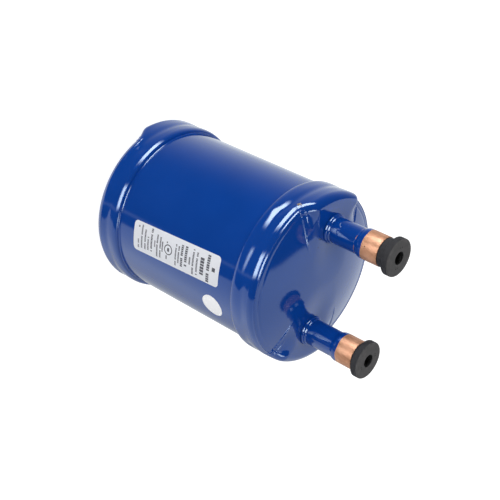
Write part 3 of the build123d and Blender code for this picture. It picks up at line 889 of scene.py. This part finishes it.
def rubber_finish(name, centre_x, top, marks):
    """Dusty face with moulded marks, and painted shade on the side, in the hole and at the collar's base, for
    the plug round an axis.
    """
    made, tree, surface, place = new_material(name)
    dust = noise(tree, place, 240.0, 5.0, 0.65)
    face = mixed(tree, graded(tree, dust, 0.3, 0.75), *dusty_face)
    # painted shade: the plug's side takes a darker tone than its face
    edge = mixed(tree, graded(tree, dust, 0.3, 0.75), *side_painted_shade)
    level = node(tree, "ShaderNodeSeparateXYZ", {"Vector": place}).outputs["Z"]
    tone = mixed(tree, graded(tree, level, top - 0.9 * mm, top - 0.1 * mm), edge, face)
    aside = vector_calc(tree, "SUBTRACT", place, (centre_x, 0.0, 0.0))
    away = distance(tree, vector_calc(tree, "MULTIPLY", aside, (1.0, 1.0, 0.0)))
    # painted shade: the wall of the blind hole is made nearly black
    tone = mixed(tree, graded(tree, away, hole_r + 0.1 * mm, hole_r + 0.5 * mm), hole_painted_shade, tone)
    # painted shadow: the collar's base next to the copper's end is made nearly black
    base = graded(tree, level, stub_top + 0.3 * mm, stub_top + 0.9 * mm)
    tone = mixed(tree, base, collar_painted_shadow, tone)
    grain = noise(tree, place, 900.0, 3.0)
    for aside_x, aside_y in marks:
        mark = near_spot(tree, place, (centre_x + aside_x, aside_y, top), mark_size)
        grain = calc(tree, "MULTIPLY_ADD", mark, -4.0, grain)
        tone = mixed(tree, calc(tree, "MULTIPLY", mark, 0.6), tone, mark_black)
    shader = node(tree, "ShaderNodeBsdfPrincipled", {
        "Base Color": tone, "Roughness": graded(tree, dust, 0.3, 0.7, 0.62, 0.85), "Specular IOR Level": 0.2,
        "Normal": bump(tree, grain, 0.35, 0.03 * mm)})
    tree.links.new(shader.outputs[0], surface)
    tell(made)
    return made


inlet_rubber = rubber_finish("inlet_rubber", -stub_x, inlet_plug_top, inlet_marks)
outlet_rubber = rubber_finish("outlet_rubber", stub_x, outlet_plug_top, outlet_marks)

# %% [markdown]
# The data label is matt white paper with a faint fibre, and the round one is whiter and smoother with a
# slight smudge. The print is a dark ink that is thinner in places. All three are a tone and a roughness that
# follow a fine noise, since flat white would look like a hole in the picture.

# %% Paper and ink
def label_finish(name, tone_of, fibre_of, rough, shine, relief):
    """Label finish: a tone, a roughness that follows a fibre, a shine and a slight relief."""
    made, tree, surface, place = new_material(name)
    fibre = noise(tree, place, *fibre_of)
    values = {"Base Color": tone_of(tree, place, fibre), "Roughness": graded(tree, fibre, 0.2, 0.8, *rough),
              "Specular IOR Level": shine}
    if relief:
        values["Normal"] = bump(tree, fibre, relief, 0.01 * mm)
    shader = node(tree, "ShaderNodeBsdfPrincipled", values)
    tree.links.new(shader.outputs[0], surface)
    tell(made)
    return made


def paper_tone(tree, place, fibre):
    """Matt white that varies with the fibre."""
    return mixed(tree, fibre, (0.66, 0.68, 0.73, 1.0), (0.74, 0.75, 0.79, 1.0))


def seal_tone(tree, place, fibre):
    """Bright white with a slight smudge."""
    smudge = graded(tree, noise(tree, place, 260.0, 2.0), 0.62, 0.72)
    return mixed(tree, smudge, (0.92, 0.92, 0.93, 1.0), (0.87, 0.87, 0.88, 1.0))


def ink_tone(tree, place, fibre):
    """Near black that is thinner in places."""
    return mixed(tree, graded(tree, fibre, 0.35, 0.7), (0.035, 0.035, 0.045, 1.0), (0.10, 0.10, 0.12, 1.0))


paper = label_finish("label_paper", paper_tone, (800.0, 4.0, 0.6), (0.4, 0.55), 0.4, 0.15)
seal = label_finish("round_seal", seal_tone, (900.0, 3.0, 0.6), (0.3, 0.4), 1.0, 0.1)
ink = label_finish("printing_ink", ink_tone, (1500.0, 3.0), (0.5, 0.7), 0.5, 0)

# %% [markdown]
# Inside, the U-tube is plain drawn copper, its joint is phosphor braze, the deflector and clip are mild
# steel, and the metering bush is turned brass with a woven screen. They are closed in and could stay grey,
# yet anyone who opens the model should find them finished. Bare metal is one recipe with a grain that is
# stretched along or round the piece.

# %% Inner metals
along_the_tube = (1.0, 1.0, 0.2)
even_grain = (1.0, 1.0, 1.0)
along_the_sheet = (1.0, 1.0, 0.3)
round_the_bush = (0.3, 0.3, 6.0)
thread_scale = 900.0


def metal(name, dark, light, scale, stretch, rough_low, rough_high):
    """Bare metal with a grain."""
    made, tree, surface, place = new_material(name)
    grain = noise(tree, vector_calc(tree, "MULTIPLY", place, stretch), scale, 4.0, 0.6)
    tone = mixed(tree, graded(tree, grain, 0.3, 0.7), dark, light)
    rough = graded(tree, grain, 0.2, 0.8, rough_low, rough_high)
    shader = node(tree, "ShaderNodeBsdfPrincipled", {
        "Base Color": tone, "Metallic": 1.0, "Roughness": rough, "Normal": bump(tree, grain, 0.3, 0.02 * mm)})
    tree.links.new(shader.outputs[0], surface)
    tell(made)
    return made


def threads(tree, place, direction):
    """Waves of a woven screen in a direction."""
    values = {"Vector": place, "Scale": thread_scale}
    return node(tree, "ShaderNodeTexWave", values, bands_direction=direction).outputs["Fac"]


drawn_copper = metal("drawn_copper", (0.80, 0.44, 0.29, 1.0), (0.91, 0.60, 0.44, 1.0),
                     260.0, along_the_tube, 0.25, 0.4)
braze_metal = metal("phosphor_braze", (0.62, 0.42, 0.24, 1.0), (0.80, 0.60, 0.38, 1.0),
                    700.0, even_grain, 0.35, 0.6)
mild_steel = metal("mild_steel", (0.36, 0.36, 0.37, 1.0), (0.50, 0.50, 0.51, 1.0),
                   320.0, along_the_sheet, 0.35, 0.5)
brass = metal("turned_brass", (0.72, 0.55, 0.26, 1.0), (0.86, 0.70, 0.38, 1.0),
              300.0, round_the_bush, 0.2, 0.32)
woven, tree, surface, place = new_material("woven_screen")
cross = calc(tree, "MAXIMUM", threads(tree, place, "Z"), threads(tree, place, "DIAGONAL"))
tone = mixed(tree, cross, (0.05, 0.05, 0.05, 1.0), (0.55, 0.55, 0.56, 1.0))
shader = node(tree, "ShaderNodeBsdfPrincipled", {
    "Base Color": tone, "Metallic": 1.0, "Roughness": graded(tree, cross, 0.0, 1.0, 0.6, 0.35),
    "Normal": bump(tree, cross, 0.6, 0.1 * mm)})
tree.links.new(shader.outputs[0], surface)
tell(woven)

# %% [markdown]
# Each piece now takes its finish. The inner pieces keep the CAD meshes, as nobody sees them from outside,
# and only their materials change.

# %% Finishes on the pieces
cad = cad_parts
finishes = [
    (blue, [top_skin, bottom_skin, shell_skin, top_seam, bottom_seam, inlet_bead, outlet_bead]),
    (stub_finish, [inlet_stub, outlet_stub]),
    (inlet_rubber, [inlet_plug]),
    (outlet_rubber, [outlet_plug]),
    (paper, [data_label]),
    (seal, [round_label]),
    (ink, [data_print]),
    (drawn_copper, [cad["u_tube"]]),
    (braze_metal, [cad["u_tube_braze"]]),
    (mild_steel, [cad["inlet_deflector"], cad["tube_clip"]]),
    (brass, [cad["oil_orifice"], cad["screen_cage"]]),
    (woven, [cad["orifice_screen"]])]
for finish, pieces in finishes:
    for piece in pieces:
        piece.data.materials.clear()
        piece.data.materials.append(finish)
print(sum(len(pieces) for finish, pieces in finishes), "pieces finished")

# %% [markdown]
# The gloss shows its surroundings, so they matter as much as the paint. Lamps and white boards could stand
# round the vessel, but each would have to be hidden from the camera and would light the dull pieces too. The
# world is written by the direction of the ray instead. The picture's up and ahead are known in the frame,
# and every place in the surroundings is a bearing and a height in those directions.

# %% Directions of the picture
photo_up = Vector((0.962, 0.273, 0.0)).normalized()
photo_ahead = Vector((0.201, -0.708, -0.676))
photo_ahead = (photo_ahead - photo_ahead.dot(photo_up) * photo_up).normalized()
photo_right = photo_ahead.cross(photo_up)


def studio(azimuth, elevation):
    """Direction in the frame for a compass bearing, right of ahead, and a height over the ground."""
    bearing = math.radians(azimuth)
    climb = math.radians(elevation)
    level = math.cos(bearing) * photo_ahead + math.sin(bearing) * photo_right
    return (math.cos(climb) * level + math.sin(climb) * photo_up).normalized()


world = bpy.data.worlds.new("studio")
bpy.context.scene.world = world
world.use_nodes = True
tree = world.node_tree
tree.nodes.clear()
ray = tree.nodes.new("ShaderNodeTexCoord").outputs["Generated"]


def along(direction):
    """How far a ray points along a direction."""
    values = {0: ray, 1: direction}
    return node(tree, "ShaderNodeVectorMath", values, operation="DOT_PRODUCT").outputs["Value"]


rise = along(photo_up)
side = along(photo_right)
behind = calc(tree, "MULTIPLY", along(photo_ahead), -1.0)
print("up in the picture is", [round(value, 3) for value in photo_up], "in the frame")

# %% [markdown]
# The gloss mirrors a white ground whose edge lies lower at the sides than ahead. The ground is dimmer in
# the vessel's own shadow and far behind the camera, a thin pale strip lies over it on the left, and ahead
# the background is paler than the dark surround. A white disc would give a level edge, so the edge is a
# height that varies with the ray's direction.

# %% White ground and background
edge_lean = 0.098
edge_drop = 0.0445
edge_softness = 0.02
ground_white = 1.1
under_vessel = studio(-20, -50)
under_vessel_white = 0.56
far_behind_white = 0.8
strip_white = 0.45
background_middle = studio(10, 0)
background_focus = 3.4
surround_grey = 0.03
edge = calc(tree, "MULTIPLY_ADD", side, edge_lean, edge_drop)
dip = calc(tree, "MULTIPLY", graded(tree, behind, -0.25, 0.0), graded(tree, side, -0.3, 0.9, 0.25, 0.1))
dip = calc(tree, "ADD", dip, graded(tree, behind, 0.25, 0.5, 0.0, 0.05))
edge = calc(tree, "ADD", edge, dip)
over_edge = calc(tree, "ADD", rise, edge)
ground = graded(tree, over_edge, -edge_softness, edge_softness, ground_white, 0.0)
shadow = graded(tree, along(under_vessel), 0.75, 1.0, 1.0, under_vessel_white)
ground = calc(tree, "MULTIPLY", ground, shadow)
left_level = graded(tree, rise, -0.75, -0.2, 1.16, 0.86)
right_level = graded(tree, rise, -0.65, -0.3, 0.93, 1.04)
rightwards = graded(tree, side, -0.6, 0.4)
ground_level = node(tree, "ShaderNodeMix", {0: rightwards, 2: left_level, 3: right_level}, data_type="FLOAT")
ground = calc(tree, "MULTIPLY", ground, ground_level.outputs[0])
ground = calc(tree, "MULTIPLY", ground, graded(tree, behind, 0.5, 0.95, 1.0, far_behind_white))
off_strip = calc(tree, "SUBTRACT", rise, calc(tree, "MULTIPLY_ADD", behind, 0.2, 0.02))
strip = graded(tree, calc(tree, "ABSOLUTE", off_strip), 0.01, 0.05, strip_white, 0.0)
strip = calc(tree, "MULTIPLY", strip, graded(tree, side, -0.8, -0.55, 1.0, 0.0))
ground = calc(tree, "ADD", ground, strip)
sweep = calc(tree, "POWER", calc(tree, "MAXIMUM", along(background_middle), 0.0), background_focus)
sweep = calc(tree, "ADD", sweep, surround_grey)
print("the world has", len(tree.nodes), "nodes so far")

# %% [markdown]
# Three soft lights make the highlights: one overhead gives the long streak, one stands on the left behind
# the camera, and a low reflector behind it on the right lights the fold. Area lamps could do it, but gloss
# shows only where a light is and how soft its edge is, and a mask of the ray's direction sets both exactly.

# %% Soft lights
side_fade = (0.22, 0.03)
height_fade = (0.12, 0.03)


def light_mask(direction, half_size, fade):
    """1 where a ray is near the middle of a light along a direction, easing to 0 at its half size."""
    reach = math.sin(math.radians(half_size))
    off_middle = calc(tree, "ABSOLUTE", along(direction))
    return graded(tree, off_middle, reach - fade[0], reach + fade[1], 1.0, 0.0)


def soft_light(azimuth, elevation, half_width, half_height):
    """Mask of a rectangular soft light seen in a direction, with half sizes in degrees."""
    middle = studio(azimuth, elevation)
    level = studio(azimuth + 90, 0)
    across = light_mask(level, half_width, side_fade)
    down = light_mask(level.cross(middle), half_height, height_fade)
    facing = graded(tree, along(middle), 0.1, 0.2)
    return calc(tree, "MULTIPLY", calc(tree, "MULTIPLY", across, down), facing)


overhead = soft_light(-50, 86, 22, 22)
beside = soft_light(-141, 24, 27, 16)
reflector = soft_light(163, -13, 16, 8)
glows = [(overhead, 14.0), (beside, 12.0), (reflector, 9.0)]
level = calc(tree, "MAXIMUM", ground, sweep)
for light, glow in glows:
    level = calc(tree, "MULTIPLY_ADD", light, glow, level)
print(len(glows), "soft lights")

# %% [markdown]
# The map of the surroundings is for mirrored rays only. Dull pieces would take hard spots of light from it,
# so diffuse light comes softly from all sides, more from above, and the camera and clear pieces see white.
# Light Path tells the rays apart.

# %% Light for each kind of ray
plain_white = (1.0, 1.0, 1.0, 1.0)
cool_white = (0.95, 1.0, 1.06, 1.0)
path = tree.nodes.new("ShaderNodeLightPath")
even = graded(tree, rise, -0.9, 0.9, 0.55, 1.35)
even = calc(tree, "MULTIPLY", even, graded(tree, along((0.0, 0.0, 1.0)), -1.0, 1.0, 1.2, 0.8))
glossy = path.outputs["Is Glossy Ray"]
mirrored = node(tree, "ShaderNodeMix", {0: glossy, 2: even, 3: level}, data_type="FLOAT").outputs[0]
seen = calc(tree, "MAXIMUM", path.outputs["Is Camera Ray"], path.outputs["Is Transmission Ray"])
strength = node(tree, "ShaderNodeMix", {0: seen, 2: mirrored, 3: 1.0}, data_type="FLOAT").outputs[0]
cast = mixed(tree, glossy, plain_white, cool_white)
background = node(tree, "ShaderNodeBackground", {"Color": cast, "Strength": strength})
output = tree.nodes.new("ShaderNodeOutputWorld")
tree.links.new(background.outputs[0], output.inputs["Surface"])
print("the world has", len(tree.nodes), "nodes")

# %% [markdown]
# The floor is a plain white sheet under the standing vessel, and takes a soft shadow. White paint alone would
# look grey in this light, and more light would spoil the vessel, so the floor gives a little light of its own
# towards the camera. Mirrored and diffuse rays pass it by and meet the world.

# %% Floor
floor_size = 4.0
floor_grey = [(0.42, 0.42, 0.42, 1.0), (0.44, 0.44, 0.44, 1.0)]
floor_glow = 0.9
floor_mesh = bpy.data.meshes.new("floor")
corners = [(-floor_size, -floor_size, 0), (floor_size, -floor_size, 0),
           (floor_size, floor_size, 0), (-floor_size, floor_size, 0)]
floor_mesh.from_pydata(corners, [], [(0, 1, 2, 3)])
floor = bpy.data.objects.new("floor", floor_mesh)
bpy.context.scene.collection.objects.link(floor)
floor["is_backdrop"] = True
floor.visible_glossy = False
floor.visible_diffuse = False
white, tree, surface, place = new_material("white_floor")
tone = mixed(tree, noise(tree, place, 40.0), *floor_grey)
matt = node(tree, "ShaderNodeBsdfDiffuse", {"Color": tone}).outputs[0]
path = tree.nodes.new("ShaderNodeLightPath")
glow_level = calc(tree, "MULTIPLY", path.outputs["Is Camera Ray"], floor_glow)
glow = node(tree, "ShaderNodeEmission", {"Strength": glow_level}).outputs[0]
tree.links.new(node(tree, "ShaderNodeAddShader", {0: matt, 1: glow}).outputs[0], surface)
floor_mesh.materials.append(white)
print("floor", 2 * floor_size, "m wide")

# %% [markdown]
# The camera is rolled so that the vessel lies down in the picture, and its place and lens were fitted to
# the vessel's outlines. A camera that tracks a target would stay level, so its right and up are written
# as two directions, and its back follows from them.

# %% Camera
camera_data = bpy.data.cameras.new("camera")
camera_data.lens = 79.2
camera_data.sensor_width = 36.0
camera_data.clip_start = 0.01
camera_data.clip_end = 50.0
camera = bpy.data.objects.new("camera", camera_data)
bpy.context.scene.collection.objects.link(camera)
camera_right = Vector((0.184702, -0.650882, 0.736369))
camera_up = Vector((0.917241, -0.154896, -0.366983))
camera_back = camera_right.cross(camera_up)
camera_place = Vector((0.23286, 0.49710, 0.46991))
camera_turn = Matrix((camera_right, camera_up, camera_back)).transposed().to_4x4()
camera.matrix_world = Matrix.Translation(camera_place) @ camera_turn
bpy.context.scene.camera = camera
bpy.context.scene.view_settings.view_transform = "Standard"
bpy.context.view_layer.update()
print("camera", round(camera_place.length, 3), "m from the origin")

# %% [markdown]
# Last, the size of what was built is set beside the frame's own. The skins should fill the CAD box and never
# pass it.

# %% Measure and finish
last_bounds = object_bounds()
sizes = {"frame": [[float(value) for value in corner] for corner in first_bounds],
         "scene": [[float(value) for value in corner] for corner in last_bounds]}
for box_name, box in sizes.items():
    print(box_name, [[round(value / mm, 1) for value in corner] for corner in box], "mm")
